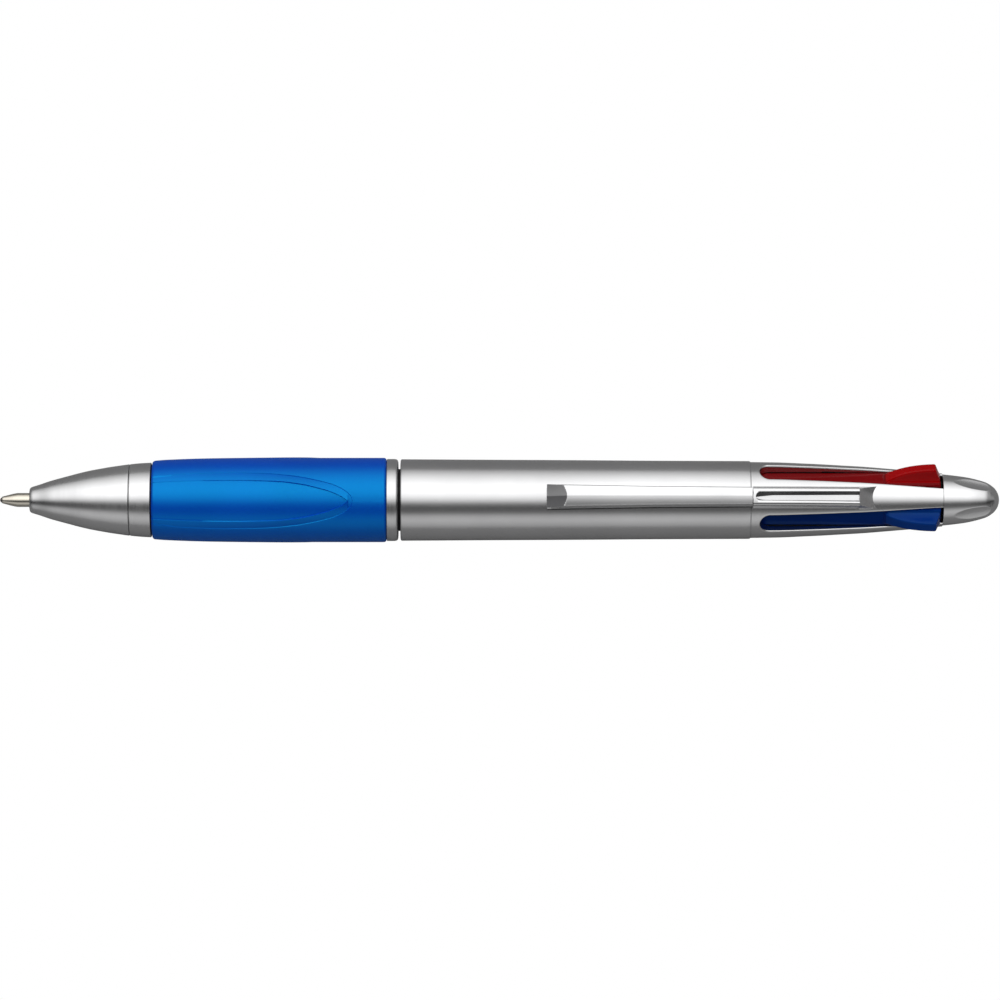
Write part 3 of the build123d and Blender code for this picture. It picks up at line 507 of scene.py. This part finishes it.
def build_housing():
    """Tapering tube with four slots: grids between the slots, and rims that follow their ends."""
    rim, half, centre_x, front, back = 0.13, 1.52, 113.82, 111.02, 139.4
    wide = half + rim
    # Steps across and down at each slot's outer rim, the one towards +Y or -Y
    ledge = [(0.0, 0.0), (0.02, 0.025), (0.16, 0.2), (0.18, 0.26)]
    nose = [centre_x - wide * cos(t) for t in np.linspace(0, pi / 2, 14)]
    stations = list(np.linspace(front, nose[0], 5)[:-1]) + nose
    stations += list(np.linspace(nose[-1], back, 44)[1:])
    columns, layers, segments = 21, 8, 160
    verts, faces = [], []

    def opening(x, reach):
        """Half width of a slot grown to this reach, at this station."""
        if x >= centre_x:
            return reach
        return sqrt(max(reach**2 - (centre_x - x)**2, 0.0))

    def add_arc(x, r, w, turn):
        """One row of points between two slots of this half width, about this angle."""
        edge = 45 - degrees(asin(min(w / r, 0.99)))
        for k in range(columns):
            a = radians(turn + edge * (2 * k / (columns - 1) - 1))
            verts.append((x, r * sin(a), r * cos(a)))

    for turn in (0, 90, 180, 270):
        start = len(verts)
        for x in stations:
            add_arc(x, float(HOUSING(x)), opening(x, wide), turn)
        faces += grid_faces(len(stations), columns, closed_columns=False, start=start)
    line = [x for x in stations if x >= nose[0] - 1e-9]
    for angle in COLOURS.values():
        for hand in (-1, 1):
            start = len(verts)
            for x in line:
                w = opening(x, wide)
                outer = 0.0
                if hand * tan(radians(angle)) > 0:
                    outer = (w / wide)**2 * (1.0 if angle > 0 else 0.55)
                dx, dw = ((x - centre_x) / wide, w / wide) if x < centre_x else (0.0, 1.0)
                for k in range(layers):
                    t = min(k, 3) / 3 * pi / 2
                    shift = rim * sin(t) * (1 - outer) + ledge[min(k, 3)][0] * outer
                    drop = rim * (1 - cos(t)) * (1 - outer) + ledge[min(k, 3)][1] * outer
                    px, pw = x - dx * shift, w - dw * shift
                    px = min(px, back)
                    r_out = float(HOUSING(px))
                    r_in = float(HOUSING_INSIDE(px))
                    r = r_out - drop - (r_out - drop - r_in) * max(k - 3, 0) / 4
                    out = sqrt(max(r * r - pw * pw, 0.0))
                    verts.append(place(angle, px, hand * pw, out))
            faces += grid_faces(len(line), layers, closed_columns=False, start=start)
    ring = [(x, float(HOUSING_INSIDE(x))) for x in np.linspace(111.9, 104.5, 4)]
    ring += [(104.5, 4.73), (104.7, 4.93), (front, 4.93), (front, 5.55)]
    start = len(verts)
    for x, r in ring:
        for j in range(segments):
            a = 2 * pi * j / segments
            verts.append((x, r * sin(a), r * cos(a)))
    faces += grid_faces(len(ring), segments, start=start)
    line = [x for x in stations if x >= 111.5]
    for turn in (0, 90, 180, 270):
        start = len(verts)
        for x in line:
            w = opening(x, half)
            if turn in (90, 270):
                w -= (ledge[-1][0] - rim) * (w / half)**2
            add_arc(x, float(HOUSING_INSIDE(x)), w, turn)
        faces += grid_faces(len(line), columns, closed_columns=False, start=start)
        start = len(verts)
        end_rows = ((float(HOUSING(back)), wide), (3.5, half), (float(HOUSING_INSIDE(back)), half))
        for r, reach in end_rows:
            add_arc(back, r, reach, turn)
        faces += grid_faces(len(end_rows), columns, closed_columns=False, start=start)
    obj = make_object("slider_housing_shell", verts, faces, REAR, SILVER,
                      ["slider_housing"], sharp=60, clean=2e-3)
    # Painted shade: the dark material on the inside and on the flat back end stands in for the
    # shade in the slots and behind the sliders
    paint_shade(obj, lambda x, r: (x > front + 0.3 and r < HOUSING_INSIDE(x) + 0.08) or x > back - 0.01)


def build_end_cap():
    """Dome with a shallow hollow in line with each slider, cut along a line of its side view."""
    radius = value_at([(139.4, 3.8), (141.5, 3.57), (143.5, 3.26), (145.5, 2.74), (146.3, 2.395),
                       (146.8, 2.06)])
    stations = [139.42, 139.44] + list(np.linspace(139.48, 146.8, 118))
    radii = [3.72, 3.77] + [float(radius(x)) for x in stations[2:]]
    for t in np.linspace(0, 1, 30)[1:]:
        x, r = end_round(t)
        stations.append(x)
        radii.append(r)
    # The hollow: radius of its round, softness of its rim, and the line it is cut along
    segments, scoop, soft = 360, 6.0, 0.03
    line_start, line_end = (140.4, 3.79), (147.2, 2.08)
    slope = (line_end[1] - line_start[1]) / (line_end[0] - line_start[0])
    lean = 1 / sqrt(1 + slope * slope)
    verts = []
    for x, r in zip(stations, radii):
        line = line_start[1] + (x - line_start[0]) * slope
        for j in range(segments):
            a = 360 * j / segments
            off = radians(a % 90 - 45)
            bend = sin(off)**2 / (2 * scoop * lean)
            under = cos(off)**2 - 4 * bend * line
            cut = 2 * line / (cos(off) + sqrt(max(under, 0.0)))
            gap = max(soft - abs(r - cut), 0.0) / soft
            here = max(min(r, cut) - gap * gap * soft / 4, 0.0) if r > 0 else 0.0
            verts.append((x, here * sin(radians(a)), here * cos(radians(a))))
    faces = grid_faces(len(stations), segments)
    faces.append(tuple(range(segments)))
    obj = make_object("end_cap_dome", verts, faces, REAR, SILVER, ["end_cap"],
                      sharp=55)
    # Painted shade: the dark material on the flat front, which closes against the housing, stands
    # in for the shade in the gap there
    paint_shade(obj, lambda x, r: x < 139.425)


def end_round(t):
    """Rounded end of the dome, from its shoulder to its middle, as a cubic curve."""
    p = [(146.8, 2.06), (147.38, 1.66), (147.85, 0.92), (147.85, 0.0)]
    w = [(1 - t)**3, 3 * t * (1 - t)**2, 3 * t * t * (1 - t), t**3]
    return sum(k * q[0] for k, q in zip(w, p)), sum(k * q[1] for k, q in zip(w, p))


# ---------------------------------------------------------------- clip

def crowned(top, y):
    """Height of the arm's roof at this distance from its ridge."""
    return top - (0.045 + 0.085 * y - 0.012 * y * y) * y


def build_clip_arm():
    """Bar with a crowned roof and a sloping front end, a round pad under it and a foot behind."""
    front, back, under, crest = 80.9, 111.06, 6.55, 8.0
    slope_low, slope_long, edge = 6.6, 2.96, 0.09
    rows = [front, 81.5, 82.1, 82.7, 83.2]
    rows += list(np.linspace(83.4, 83.92, 14)) + list(np.linspace(84.3, back, 30))
    verts = []
    for x in rows:
        w = float(np.interp(x, [front, 96.0, back], [1.62, 1.36, 1.24]))
        top = float(np.interp(x, [front, 92.0, 100.0, back], [crest, crest, 7.93, 7.65]))
        slope = slope_low + (x - front) / slope_long * (crest - slope_low)
        sides = []
        # The two sides flare by different amounts: first +Y, then -Y
        for draft in (0.16, 0.4):
            side = [(w + draft, under), (w + draft * 0.72, under + 0.1),
                    (w + draft * 0.12, crowned(top, w) - 0.18)]
            corner = crowned(top, w - edge) - edge
            for k in range(7):
                t = pi / 2 * k / 6
                side.append((w - edge + edge * cos(t), corner + edge * sin(t)))
            side += [(y, crowned(top, y)) for y in (w * 0.8, w * 0.62, w * 0.45, w * 0.3, w * 0.15)]
            # Whatever stands above the sloping front end is cut down to it
            sides.append([(y, min(z, slope - 0.052 * y + 0.033 * y * y)) for y, z in side])
        ring = sides[0] + [(0.0, min(top, slope))] + [(-y, z) for y, z in reversed(sides[1])]
        verts += [(x, y, z) for y, z in ring]
    bm = bmesh.new()
    add_faces(bm, verts, grid_faces(len(rows), len(ring)) + end_faces(len(rows), len(ring)))

    # Pad under the front end
    pad, pad_rows, pad_sides = [], 9, 20
    for y in np.linspace(-1.3, 1.3, pad_rows):
        size = 0.9 * (1 - (abs(y) / 1.3)**6 * 0.35)
        for k in range(pad_sides):
            t = 2 * pi * k / pad_sides
            pad.append((83.6 + size * cos(t), float(y), 6.85 + size * sin(t)))
    add_faces(bm, pad, grid_faces(pad_rows, pad_sides) + end_faces(pad_rows, pad_sides))

    # Foot that joins the arm to the barrel
    foot = []
    for z, grow in ((5.84, 0.0), (6.2, 0.0), (6.45, 0.1), (6.7, 0.35)):
        for x, y in ((107.7 - grow, -0.85 - grow / 2), (110.3, -0.85 - grow / 2),
                     (110.3, 0.85 + grow / 2), (107.7 - grow, 0.85 + grow / 2)):
            foot.append((x, y, z))
    add_faces(bm, foot, grid_faces(4, 4) + end_faces(4, 4))

    obj = finish_mesh("clip_arm_bar", bm, CLIP, SILVER, ["clip_arm"], sharp=17,
                      clean=1e-5, crease=lambda x, y, z: abs(y) < 1e-6 and z > 7.6)
    for material in (PAINTED_SHADE_BLACK, SHADED_SLOPE, SHADED):
        obj.data.materials.append(material)
    dark, upper, lower = 1, 2, 3
    # Painted shade: a near-black strip along the foot of the -Y side for the shadow line under the
    # arm, and darker silver on the sloping front end, darker still on its -Y half
    for face in obj.data.polygons:
        x, y, z = face.center
        if z < (under + 0.07) * MM and y < -MM and face.normal.z > -0.5:
            face.material_index = dark
        elif face.normal.x < -0.3 and x < 84 * MM and z > 6.58 * MM:
            face.material_index = upper if y > 0 else lower


def build_clip_mount():
    """Fixed block: two side walls round a long recess, a floor, and a slope down to the housing."""
    front, slope, back = 111.2, 126.87, 128.95
    bases, floor, shift = {1: 1.6, -1: 1.8}, 6.05, -0.12
    wall, slope_top = 1.25, 6.78
    recess_from, recess_half = 111.56, 0.68
    centre_x = recess_from + recess_half
    top = value_at([(front, 7.65), (119.5, 7.32), (slope, slope_top)])

    def opening(x):
        """Half width of the recess at this station: a round end, then slowly wider."""
        if x <= recess_from:
            return 0.0
        if x < centre_x:
            return sqrt(recess_half**2 - (centre_x - x)**2)
        return recess_half + (x - centre_x) / (slope - centre_x) * 0.12

    def skin(x, y):
        """Height just under the housing's surface."""
        r = float(HOUSING(x))
        return sqrt(max(r * r - y * y, 0.0)) - 0.05

    ends = [centre_x - recess_half * cos(t) for t in np.linspace(0, pi / 2, 9)]
    straight = [x for x in np.linspace(front, slope, 34) if x > centre_x + 0.2]
    stations = sorted(set([front, front + 0.05] + ends + straight))
    verts, faces = [], []
    for hand in (-1, 1):
        start = len(verts)
        for x in stations:
            base = bases[hand]
            high, low = float(top(x)), skin(x, base)
            w = opening(x) - (0.1 if hand < 0 and opening(x) > 0.1 else 0.0)
            deep = w > 0
            blend = np.clip((x - recess_from) / 2.5, 0, 1)
            inner = w * (0.1 + 0.35 * blend if hand > 0 else 0.2 + 0.45 * min(2 * blend, 1.0))
            middle = (high + low) / 2
            share = np.clip((high - middle) / 2.2, 0, 1)
            # Half section: up the wall, over its top and down into the recess
            rows = [(base, low), (base - 0.08, low + 0.13), (wall + (base - wall) * share, middle),
                    (wall, high - 0.2), (1.22, high - 0.13), (1.16, high - 0.09),
                    (0.96, high - 0.012), (0.9, high), (w + 0.04 if deep else 0.04, high),
                    (w + 0.01 if deep else 0.02, high - (0.015 if deep else 0.0)),
                    (w, high - (0.05 if deep else 0.0)), (w * 0.97, high - (0.2 if deep else 0.0)),
                    (inner, floor if deep else high), (0.0, floor if deep else high)]
            for i, (y, z) in enumerate(rows):
                verts.append((x, hand * y + (shift if i > 2 else 0.0), z))
        faces += grid_faces(len(stations), len(rows), closed_columns=False, start=start)

    # Front face
    start = len(verts)
    high = float(top(front))
    outline = [(-bases[-1], skin(front, bases[-1])), (-wall + shift, high - 0.2),
               (-1.16 + shift, high - 0.09), (-0.9 + shift, high), (0.9 + shift, high),
               (1.16 + shift, high - 0.09), (wall + shift, high - 0.2),
               (bases[1], skin(front, bases[1]))]
    verts += [(front, y, z) for y, z in outline]
    faces.append(tuple(start + i for i in range(len(outline))))

    # Slope behind the recess, slightly hollow, and the two cheeks under its edges
    start = len(verts)
    rows, columns = 12, 17
    for i in range(rows):
        t = i / (rows - 1)
        for k in range(columns):
            y = (2 * k / (columns - 1) - 1) * (1.24 + 0.4 * t) + shift * (1 - t)
            x = slope + (back - slope + 0.5 * (y / 1.5)**2) * t
            end = skin(x, y)
            z = min(slope_top + (end - slope_top) * t, slope_top)
            verts.append((x, y, z - 0.10 * sin(pi * t) * (1 - (y / 1.6)**2)))
    faces += grid_faces(rows, columns, closed_columns=False, start=start)
    for hand in (-1, 1):
        start = len(verts)
        for i in range(rows):
            t = i / (rows - 1)
            y = 1.24 + 0.4 * t
            x = slope + (back - slope + 0.5 * (y / 1.5)**2) * t
            z = slope_top + (skin(x, y) - slope_top) * t
            verts.append((x, hand * y + shift * (1 - t), z))
            verts.append((x, hand * bases[hand], skin(x, bases[hand])))
        faces += grid_faces(rows, 2, closed_columns=False, start=start)

    # Back wall of the recess
    start = len(verts)
    w = opening(slope)
    corners = ((-w, floor), (w, floor), (w, slope_top), (-w, slope_top))
    verts += [(slope, y + shift, z) for y, z in corners]
    faces.append(tuple(range(start, start + len(corners))))
    obj = make_object("clip_mount_block", verts, faces, REAR, SILVER,
                      ["clip_mount"], sharp=28, clean=5e-3)
    obj.data.materials.append(SHADED)
    obj.data.materials.append(PAINTED_SHADE_BLACK)
    shaded, dark = 1, 2
    # Painted shade: darker silver on the recess walls, and a near-black strip along the foot of the
    # -Y side for the shadow line there
    for face in obj.data.polygons:
        x, y, z = (c / MM for c in face.center)
        high = float(top(min(x, slope)))
        inside = recess_from < x < slope + 0.02 and abs(y - shift) < 0.86
        if inside and floor + 0.01 < z < high - 0.1 and abs(face.normal.z) < 0.9:
            face.material_index = shaded
        elif y < -1.7 and x < slope and z < skin(x, bases[-1]) + 0.1:
            face.material_index = dark


# ---------------------------------------------------------------- sliders and refills

def build_slider(colour, angle):
    """Thumb piece with scooped sides, flat strip, boss, stub and latch tooth."""
    shift = pushed(colour)
    # Height of the thumb's top along the pen, and its half width at each height
    height = value_at([(130.5, 4.05), (131.1, 4.52), (131.8, 4.97), (132.7, 5.4), (133.8, 5.78),
                       (134.9, 6.06), (136.4, 6.3), (138.0, 6.41)], 8)
    side = value_at([(2.0, 1.4), (3.7, 1.4), (3.93, 1.38), (4.12, 1.22), (4.32, 1.04), (4.6, 0.94),
                     (5.1, 0.87), (5.8, 0.83), (6.42, 0.8)], 10)
    thumb_front, highest, edge = 130.5, 6.42, 0.3
    levels = [2.0, 3.0, 3.7, 3.82, 3.93, 4.02, 4.12, 4.22, 4.32, 4.45, 4.6, 4.85, 5.1, 5.45, 5.8,
              6.1, 6.26]
    stations = [(thumb_front, 4.05)]
    stations += [(x, float(height(x))) for x in np.linspace(130.6, 137.95, 46)]
    stations += [(138.06, 6.39), (138.16, 6.33), (138.24, 6.22)]
    stations += [(138.24 + 0.76 * t, 6.22 - 2.17 * t) for t in (0.2, 0.4, 0.6, 0.8, 1.0)]
    stations += [(139.0, 3.2)]
    verts = []
    for x, h in stations:
        half = [(float(side(min(z, h - edge, highest))), min(z, h - edge)) for z in levels]
        w = float(side(min(h, highest)))
        for t in np.linspace(0, pi / 2, 9)[1:-1]:
            half.append((w - edge + edge * cos(t), h - edge + edge * sin(t)))
        half += [((w - edge) * (1 - k / 5), h) for k in range(6)]
        ring = half + [(-a, b) for a, b in reversed(half[:-1])]
        verts += [place(angle, x - shift, a, b) for a, b in ring]
    faces = grid_faces(len(stations), len(ring)) + end_faces(len(stations), len(ring))

    # Strip that runs in the housing
    start = len(verts)
    ring = round_corners([(-1.4, 2.0), (1.4, 2.0), (1.4, 4.05), (-1.4, 4.05)], 0.15, 3)
    rows = [102.5, 103.0] + list(np.linspace(106, 130, 9)) + [138.0]
    for x in rows:
        verts += [place(angle, x - shift, a, b) for a, b in ring]
    faces += grid_faces(len(rows), len(ring), start=start) + end_faces(len(rows), len(ring), start)

    # Latch tooth under the strip
    t = len(verts)
    for a in (-0.9, 0.9):
        for x, b in ((126.0, 2.1), (126.3, 1.76), (127.5, 1.76), (127.5, 2.1)):
            verts.append(place(angle, x - shift, a, b))
    faces += [(t, t + 1, t + 2, t + 3), (t + 4, t + 5, t + 6, t + 7), (t, t + 1, t + 5, t + 4),
              (t + 1, t + 2, t + 6, t + 5), (t + 2, t + 3, t + 7, t + 6), (t, t + 3, t + 7, t + 4)]

    # Boss and the stub in front of it, which holds the refill
    a = radians(angle)
    centre = (REFILL_OFFSET * sin(a), REFILL_OFFSET * cos(a))
    front = SLIDER_FRONT - shift
    boss = [(front, 0.0), (front, 1.35), (front + 0.05, 1.45), (front + 0.15, 1.5),
            (front + 2.85, 1.5), (front + 2.95, 1.45), (front + 3.0, 1.35), (front + 3.0, 0.0)]
    stub = [(front - 5.0, 0.0), (front - 5.0, 0.6), (front - 4.8, 0.77), (front + 0.5, 0.77),
            (front + 0.5, 0.0)]
    for outline, segments in ((boss, 40), (stub, 28)):
        v, f = lathe_mesh(outline, segments, centre, len(verts))
        verts, faces = verts + v, faces + f
    obj = make_object(f"slider_{colour}_piece", verts, faces, f"slider_{colour}",
                      SHADED_PLASTIC[colour], [f"slider_{colour}"], sharp=42,
                      clean=1e-5)
    # Painted light and shade: the thumb faces take the brighter copy of the colour, the rest, with
    # the strip in the slot, the darker one
    obj.data.materials.append(LIT_THUMB[colour])
    for face in obj.data.polygons:
        x, y, z = face.center
        if x > (thumb_front - shift) * MM and sqrt(y**2 + z**2) > 4.4 * MM:
            face.material_index = 1


def refill_line(colour, low, high, count):
    """Centre line of a refill between two stations, and the directions across it."""
    start = BEND_FRONT + TRAVEL - pushed(colour)
    tip = 0.0 if colour == CHOSEN else TIP_OFFSET
    a = radians(COLOURS[colour])
    path, ups = [], []
    for x in np.linspace(low, high, count):
        t = np.clip((x - start) / (BEND_BACK - start), 0, 1)
        r = tip + (REFILL_OFFSET - tip) * t * t * (3 - 2 * t)
        path.append((x, r * sin(a), r * cos(a)))
        ups.append((0.0, cos(a), -sin(a)))
    return path, ups


def bend_with(obj):
    """Bakes a refill piece's placement into its mesh."""
    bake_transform(obj)


def build_refill(colour, angle):
    """Bent clear tube with ink in it, a turned writing point and its ball."""
    front = TRAVEL - pushed(colour)
    offset = 0.0 if colour == CHOSEN else TIP_OFFSET
    back = SLIDER_FRONT - pushed(colour) - 0.02
    a = radians(angle)
    sides = 28
    path, ups = refill_line(colour, front + 8.02, back, 90)
    verts, faces = pipe_mesh(path, ups, 1.15, sides, capped=False)
    v, f = pipe_mesh(path, ups, 0.8, sides, start=len(verts), capped=False)
    inner = len(verts)
    verts, faces = verts + v, faces + [tuple(reversed(q)) for q in f]
    last = (len(path) - 1) * sides
    for j in range(sides):
        k = (j + 1) % sides
        faces.append((j, k, inner + k, inner + j))
        faces.append((last + j, last + k, inner + last + k, inner + last + j))
    tube = make_object(f"refill_tube_{colour}", verts, faces, None, TUBE,
                       [f"tube_{colour}"], clean=1e-5)
    bend_with(tube)
    path, ups = refill_line(colour, front + 12.0, front + 70.0, 60)
    verts, faces = pipe_mesh(path, ups, 0.79, 22)
    ink = make_object(f"ink_column_{colour}", verts, faces, None, INK[colour],
                      [f"ink_{colour}"], clean=1e-5)
    bend_with(ink)
    centre = (offset * sin(a), offset * cos(a))
    point = [(0.28, 0.395), (0.26, 0.43), (0.3, 0.47)]
    point += smooth_curve([(0.45, 0.53), (1.1, 0.70), (1.9, 0.90), (2.35, 0.99), (2.6, 1.025),
                           (3.0, 1.03)], 5)
    point += [(7.9, 1.03), (8.0, 0.96), (8.0, 0.77), (11.98, 0.77), (11.98, 0.3), (0.7, 0.3),
              (0.7, 0.42), (0.35, 0.42)]
    point = [(x + front, r) for x, r in point]
    lathe(f"writing_point_{colour}", point, f"tip_{colour}", NICKEL,
          [f"point_{colour}"], segments=72, centre=centre)
    size = 0.4
    ball = [(front + size - size * cos(t), size * sin(t)) for t in np.linspace(0, pi, 25)]
    lathe(f"ball_tip_{colour}", ball, f"tip_{colour}", CARBIDE, [f"ball_{colour}"],
          segments=40, centre=centre)


def build_spring(colour, angle):
    """Coil with closed ends between the plate and the slider's boss."""
    a = radians(angle)
    coil, wire, gap, closed = 1.42, 0.14, 0.15, 0.30
    start, end = 72.22 + gap, SLIDER_FRONT - pushed(colour) - gap
    length = end - start
    turns, steps = 13, 30
    path, ups = [], []
    for k in range(turns * steps + 1):
        t = k / steps
        share = np.interp(t, [0, 1.2, turns - 1.2, turns],
                          [0.0, closed / length, 1 - closed / length, 1.0])
        b = 2 * pi * t
        r = np.array([cos(b), sin(b)]) * coil
        path.append((start + share * length, REFILL_OFFSET * sin(a) + r[0],
                     REFILL_OFFSET * cos(a) + r[1]))
        ups.append((0.0, cos(b), sin(b)))
    verts, faces = pipe_mesh(path, ups, wire, 10)
    obj = make_object(f"return_spring_{colour}", verts, faces, None, WIRE,
                      [f"spring_{colour}"], clean=1e-6)
    if colour == CHOSEN:
        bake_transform(obj)
    else:
        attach(obj, REAR)
        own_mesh(obj)


build_nose()
build_lower_barrel()
build_grip()
build_upper_barrel()
build_housing()
build_end_cap()
build_clip_arm()
build_clip_mount()
for colour, angle in COLOURS.items():
    build_slider(colour, angle)
    build_refill(colour, angle)
    build_spring(colour, angle)
# Two hidden pieces keep their CAD shape and only take a material; the guide core's near-black is
# painted shade for the gaps it shows through
for node, material in (("guide_core", PAINTED_SHADE_BLACK), ("spring_plate", NATURAL)):
    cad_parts[node].data.materials.clear()
    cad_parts[node].data.materials.append(material)


# ---------------------------------------------------------------- floor, light and camera

FLOOR_HEIGHT = -6.6
FLOOR_GREY = 0.26


def build_floor():
    """Pale floor: plain white to the camera, a quiet grey to everything it is mirrored in."""
    mesh = bpy.data.meshes.new("floor")
    size, z = 3.0, FLOOR_HEIGHT * MM
    mesh.from_pydata([(-size, -size, z), (size, -size, z), (size, size, z), (-size, size, z)], [],
                     [(0, 1, 2, 3)])
    floor = bpy.data.objects.new("floor", mesh)
    bpy.context.scene.collection.objects.link(floor)
    material, nodes, links, shader, _ = base_material("pale_floor")
    shader.inputs["Base Color"].default_value = (FLOOR_GREY, FLOOR_GREY, FLOOR_GREY, 1)
    shader.inputs["Roughness"].default_value = 0.9
    glow = nodes.new("ShaderNodeEmission")
    glow.inputs["Color"].default_value = (1, 1, 1, 1)
    path = nodes.new("ShaderNodeLightPath")
    mix = nodes.new("ShaderNodeMixShader")
    links.new(path.outputs["Is Camera Ray"], mix.inputs["Fac"])
    links.new(shader.outputs["BSDF"], mix.inputs[1])
    links.new(glow.outputs["Emission"], mix.inputs[2])
    links.new(mix.outputs["Shader"], nodes["Material Output"].inputs["Surface"])
    mesh.materials.append(material)


def build_world():
    """Studio round the pen: a wide soft box on the +Y side of the lens, a weaker one opposite."""
    world = bpy.data.worlds.new("studio")
    bpy.context.scene.world = world
    world.use_nodes = True
    nodes, links = world.node_tree.nodes, world.node_tree.links
    nodes.clear()
    coords = nodes.new("ShaderNodeTexCoord")
    split = nodes.new("ShaderNodeSeparateXYZ")
    links.new(coords.outputs["Generated"], split.inputs["Vector"])
    angle = nodes.new("ShaderNodeMath")
    angle.operation = "ARCTAN2"
    links.new(split.outputs["Y"], angle.inputs[0])
    links.new(split.outputs["Z"], angle.inputs[1])
    share = nodes.new("ShaderNodeMapRange")
    share.inputs["From Min"].default_value = -pi
    share.inputs["From Max"].default_value = pi
    links.new(angle.outputs["Value"], share.inputs["Value"])
    ramp = nodes.new("ShaderNodeValToRGB")
    links.new(share.outputs["Result"], ramp.inputs["Fac"])
    # Brightness round the pen's axis, as (degrees from straight above towards +Y, level)
    levels = [(-180, 0.2), (-129, 0.33), (-108, 0.18), (-92, 0.34), (-77, 0.53), (-64, 0.66),
              (-52, 0.55), (-40, 0.15), (-27, 0.08), (-17, 0.2), (-5, 1.0), (6, 1.5), (18, 1.8),
              (41, 1.75), (54, 1.45), (67, 1.15), (82, 0.72), (99, 0.38), (118, 0.16), (150, 0.3)]
    ramp.color_ramp.interpolation = "LINEAR"
    top, at_ends = 3.0, 0.22
    while len(ramp.color_ramp.elements) < len(levels):
        ramp.color_ramp.elements.new(0.5)
    for element, (where, level) in zip(ramp.color_ramp.elements, levels):
        element.position = (where + 180) / 360
        element.color = (level / top, level / top, level / top, 1)
    lean = nodes.new("ShaderNodeMath")
    lean.operation = "ABSOLUTE"
    links.new(split.outputs["X"], lean.inputs[0])
    fall = nodes.new("ShaderNodeMapRange")
    fall.interpolation_type = "SMOOTHSTEP"
    fall.inputs["From Min"].default_value = 0.42
    fall.inputs["From Max"].default_value = 0.88
    fall.inputs["To Min"].default_value = top
    fall.inputs["To Max"].default_value = top * at_ends
    links.new(lean.outputs["Value"], fall.inputs["Value"])
    glow = nodes.new("ShaderNodeBackground")
    links.new(ramp.outputs["Color"], glow.inputs["Color"])
    links.new(fall.outputs["Result"], glow.inputs["Strength"])
    plain = nodes.new("ShaderNodeBackground")
    plain.inputs["Color"].default_value = (1, 1, 1, 1)
    path = nodes.new("ShaderNodeLightPath")
    mix = nodes.new("ShaderNodeMixShader")
    links.new(path.outputs["Is Camera Ray"], mix.inputs["Fac"])
    links.new(glow.outputs["Background"], mix.inputs[1])
    links.new(plain.outputs["Background"], mix.inputs[2])
    output = nodes.new("ShaderNodeOutputWorld")
    links.new(mix.outputs["Shader"], output.inputs["Surface"])


def build_camera():
    """Long lens above the pen, tipped a few degrees so that the clip side leans away."""
    data = bpy.data.cameras.new("camera")
    camera = bpy.data.objects.new("camera", data)
    bpy.context.scene.collection.objects.link(camera)
    elevation, distance, view, middle = radians(85.2), 0.93, radians(9.1), 74.0
    target = Vector((middle * MM, 0.0, 0.0))
    back = Vector((0.0, -cos(elevation), sin(elevation)))
    data.sensor_width = 36.0
    data.lens = data.sensor_width / 2 / tan(view / 2)
    data.clip_start, data.clip_end = 0.01, 20.0
    camera.location = target + back * distance
    camera.rotation_mode = "QUATERNION"
    camera.rotation_quaternion = (-back).to_track_quat("-Z", "Y")
    bpy.context.scene.camera = camera


build_floor()
build_world()
build_camera()
bpy.context.scene.view_settings.view_transform = "Standard"
